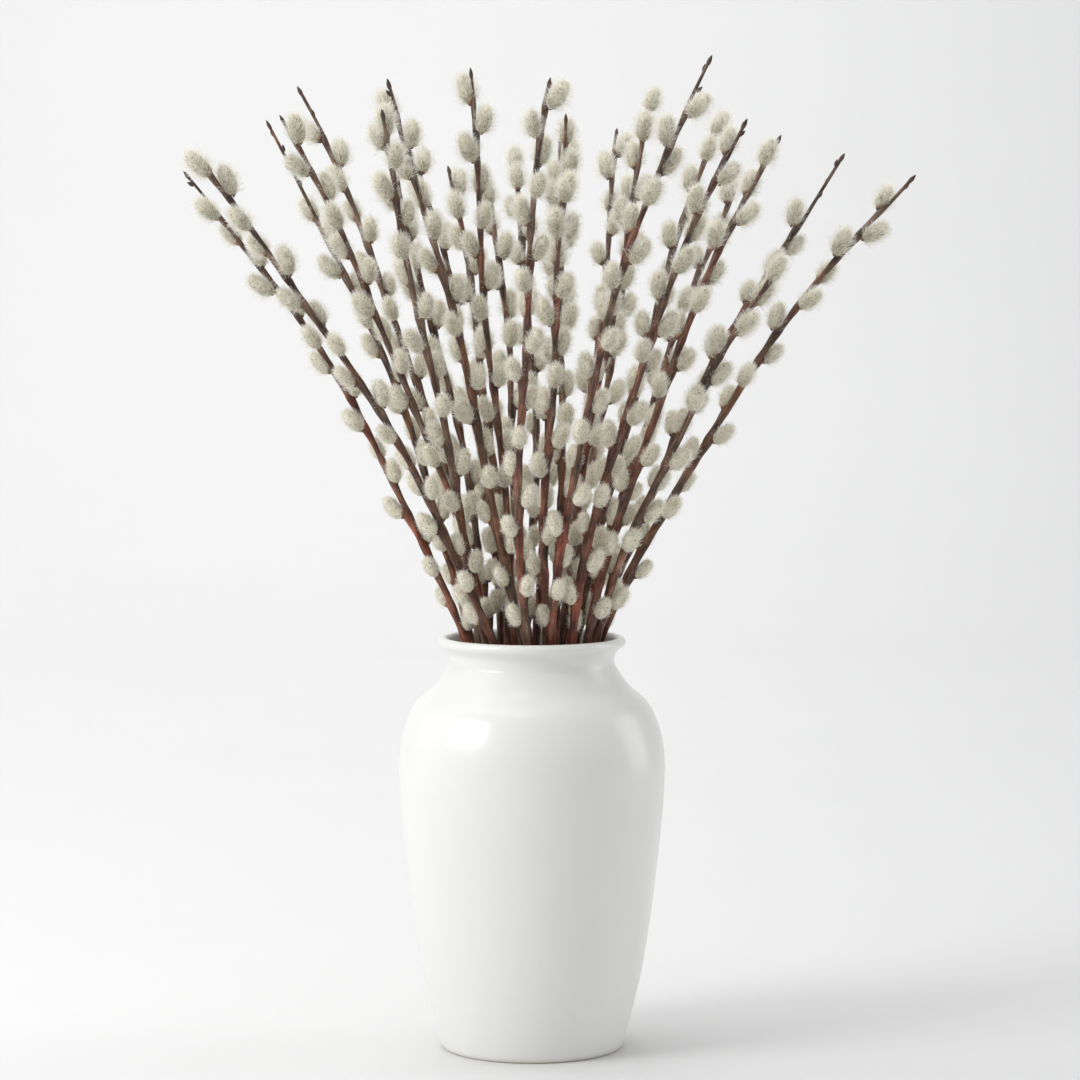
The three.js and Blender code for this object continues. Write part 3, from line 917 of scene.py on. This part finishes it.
def catkin_fur(patches, catkin, cell, cells):
    """Fine tapering hairs that stand out from the body and sweep towards its tip.

    Most hairs are broad at the root; the blunt ones are broad at the tip.
    """
    hairs = int(between(catkin.fluff, HAIRS))
    s = hair_draws.uniform(ROOTS_FROM, 1.0, hairs) ** ROOT_CROWDING
    turn = hair_draws.uniform(0, FULL_TURN, hairs)
    root, ring, axis = core_points(s, turn, catkin)
    slope = (2 * s - 1)[:, None]
    normal = unit(ring * np.sqrt(np.clip(1 - slope ** 2, 0, 1)) + axis * slope * POLE_LEAN)
    long = hair_draws.uniform(0, 1, hairs) < between(catkin.fluff, LONG_SHARE)
    for_sweep, for_length, for_end = hair_draws.uniform(0, 1, (3, hairs))
    sweep = np.where(long, between(for_sweep, LONG_SWEEP), between(for_sweep, SHORT_SWEEP))
    sweep = (sweep + SMOOTH_SWEEP * (1 - catkin.fluff))[:, None]
    way = unit(normal + axis * sweep + hair_draws.normal(0, SWEEP_JITTER, (hairs, 3)))
    length = np.where(long, between(for_length, LONG_HAIR), between(for_length, SHORT_HAIR))
    taper = FOOT_HAIR_GAIN - TIP_HAIR_LOSS * s ** 2
    length = length * catkin.size * taper * (1 + FLUFF_GAIN * catkin.fluff)
    half = np.where(long, LONG_HALF_WIDTH, SHORT_HALF_WIDTH)[:, None]
    wide = unit(np.cross(way, hair_draws.normal(0, 1, (hairs, 3)))) * half
    foot, end = root - normal * ROOT_DEPTH, root + way * length[:, None]
    blunt = long & (for_end < BLUNT_SHARE)
    broad, narrow = np.where(blunt[:, None], end, foot), np.where(blunt[:, None], foot, end)
    points = np.stack([broad - wide, broad + wide, narrow], 1).reshape(-1, 3)
    middle = FUR_UV_SHARE * (cell + hair_draws.uniform(*HAIR_CELL, hairs)) / cells
    left, right = middle - HAIR_MAP_HALF_WIDTH, middle + HAIR_MAP_HALF_WIDTH
    tip_v = np.where(long, LONG_TIP_TONE, SHORT_TIP_TONE)
    broad_v, narrow_v = np.where(blunt, tip_v, ROOT_TONE), np.where(blunt, ROOT_TONE, tip_v)
    corners = [np.stack([left, broad_v], 1), np.stack([right, broad_v], 1), np.stack([middle, narrow_v], 1)]
    faces = np.arange(3 * hairs).reshape(-1, 3)
    patches.add(points, faces, np.stack(corners, 1).reshape(-1, 2), FUR_SLOT)


def make_stems():
    """Every stem as two pieces, its twig with the buds and its catkins."""
    lines = [StemLine(stem) for stem in range(len(STEMS))]
    by_stem = place_catkins(lines)
    barks = [bark_material(f"willow_bark_{i + 1}", tones) for i, tones in enumerate(FRESH_BARK)]
    bud_slots = [scale_material("bud_scale", SCALE_TONES), scale_material("bud", BUD_TONES)]
    fur_slots = [core_material(), fur_material()]
    for stem, (line, catkins) in enumerate(zip(lines, by_stem)):
        node = f"willow_stem_{stem + 1:02d}"
        patches = Patches()
        bark(patches, stem, line, catkins)
        buds(patches, stem, line, catkins)
        bark_slot = barks[int(len(barks) * chance(stem, BARK_PLACE))]
        twig = patches.build(f"twig_{stem + 1:02d}", [bark_slot, *bud_slots], "grain")
        weld(twig)
        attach(twig, "root")
        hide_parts(node)
        patches = Patches()
        for cell, catkin in enumerate(catkins):
            catkin_core(patches, catkin, cell, len(catkins))
            catkin_fur(patches, catkin, cell, len(catkins))
        fur = patches.build(f"catkins_{stem + 1:02d}", fur_slots, "OFBake")
        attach(fur, "root")
        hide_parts(node)


def make_stage():
    """A white floor that sweeps up into a backdrop."""
    turn = np.linspace(0, math.pi / 2, PAPER_CURVE_STEPS)
    curve = [(PAPER_BACK - PAPER_CURVE + PAPER_CURVE * math.sin(a), PAPER_CURVE - PAPER_CURVE * math.cos(a))
             for a in turn]
    path = [(PAPER_FRONT, 0), *curve, (PAPER_BACK, PAPER_TOP)]
    rows = np.array([[(x, y, z) for x in PAPER_SIDES] for y, z in path], float)
    patches = Patches()
    patches.grid(rows, np.array([0.0, 1.0]), np.linspace(0, 1, len(path)), closed=False)
    patches.build("sweep", [paper_material()], "grain")


def stand(name, data, place, target):
    """Stands a lamp or a camera in its place, turned towards its target."""
    thing = bpy.data.objects.new(name, data)
    thing.location = place
    thing.rotation_euler = (Vector(target) - Vector(place)).to_track_quat("-Z", "Y").to_euler()
    bpy.context.scene.collection.objects.link(thing)
    return thing


def make_sky():
    """Soft white light from all round, dimmer from the front right."""
    world = bpy.data.worlds.new("studio")
    world.use_nodes = True
    nodes, links = world.node_tree.nodes, world.node_tree.links
    facing = nodes.new("ShaderNodeVectorMath")
    facing.operation = "DOT_PRODUCT"
    links.new(nodes.new("ShaderNodeTexCoord").outputs["Generated"], facing.inputs[0])
    facing.inputs[1].default_value = SKY_DIM_SIDE
    glow = nodes.new("ShaderNodeMapRange")
    links.new(facing.outputs["Value"], glow.inputs["Value"])
    for key, value in (("From Min", -1), ("From Max", 1), ("To Min", SKY_BRIGHTEST), ("To Max", SKY_DIMMEST)):
        glow.inputs[key].default_value = value
    links.new(glow.outputs[0], nodes["Background"].inputs["Strength"])
    nodes["Background"].inputs["Color"].default_value = rgba(1)
    bpy.context.scene.world = world


def make_lamps():
    for name, place, target, size, power in LAMPS:
        light = bpy.data.lights.new(name, "AREA")
        light.shape = "RECTANGLE"
        light.size, light.size_y = size
        light.energy = power
        stand(name, light, place, target)


def make_camera():
    camera = bpy.data.cameras.new("camera")
    camera.lens = LENS
    camera.sensor_width = SENSOR
    bpy.context.scene.camera = stand("camera", camera, EYE, AIM)


make_camera()
make_stage()
make_sky()
make_lamps()
make_vase()
make_stems()
bpy.context.scene.view_settings.view_transform = "Standard"
